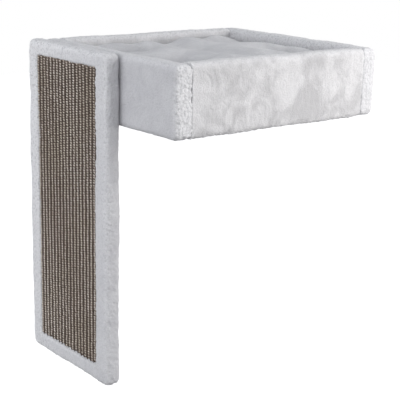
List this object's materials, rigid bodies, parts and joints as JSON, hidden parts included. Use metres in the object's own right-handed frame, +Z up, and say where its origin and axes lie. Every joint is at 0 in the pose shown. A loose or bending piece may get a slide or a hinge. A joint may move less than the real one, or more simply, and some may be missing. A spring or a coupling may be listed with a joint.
{
  "type": "cat bed with scratcher",
  "caption": "Plush cat bed tray with a tufted cushion for a shelf compartment, with a sisal scratching board that hangs down in front of the shelf.",
  "frame": {"origin": "middle of the tray's underside, which rests on the shelf", "axes": "+X to the right along the front, +Y back into the shelf, +Z up"},
  "size_m": [0.33, 0.395, 0.48],
  "materials": {
    "chipboard": "bare chipboard",
    "plush": "short-pile plush",
    "cushion_plush": "short-pile plush",
    "dust_cloth": "non-woven cloth",
    "sisal": "woven sisal",
    "sisal_backing": "coarse woven backing",
    "screw_steel": "yellow zinc",
    "bolt_steel": "bright zinc",
    "filling": "polyester fibre",
    "thread": "waxed thread"
  },
  "bodies": {
    "tray": {"front_wall_board": "chipboard", "back_wall_board": "chipboard", "left_wall_board": "chipboard", "right_wall_board": "chipboard", "floor_board": "chipboard", "scratching_board": "chipboard", "front_wall_plush": "plush", "back_wall_plush": "plush", "left_wall_plush": "plush", "right_wall_plush": "plush", "floor_plush": "plush", "scratching_board_plush": "plush", "dust_cloth": "dust_cloth", "sisal_backing": "sisal_backing", "sisal_mat": "sisal", "corner_screws": "screw_steel", "floor_screws": "screw_steel", "board_bolts": "bolt_steel", "bolt_washers": "bolt_steel", "tee_nuts": "bolt_steel"},
    "cushion": {"cushion_cover": "cushion_plush", "cushion_filling": "filling", "tuft_ties": "thread"}
  },
  "joints": [
    {"name": "cushion_lift", "type": "slide", "parent": "tray", "child": "cushion", "axis": [0, 0, 1], "range_m": [0, 0.2]}
  ]
}
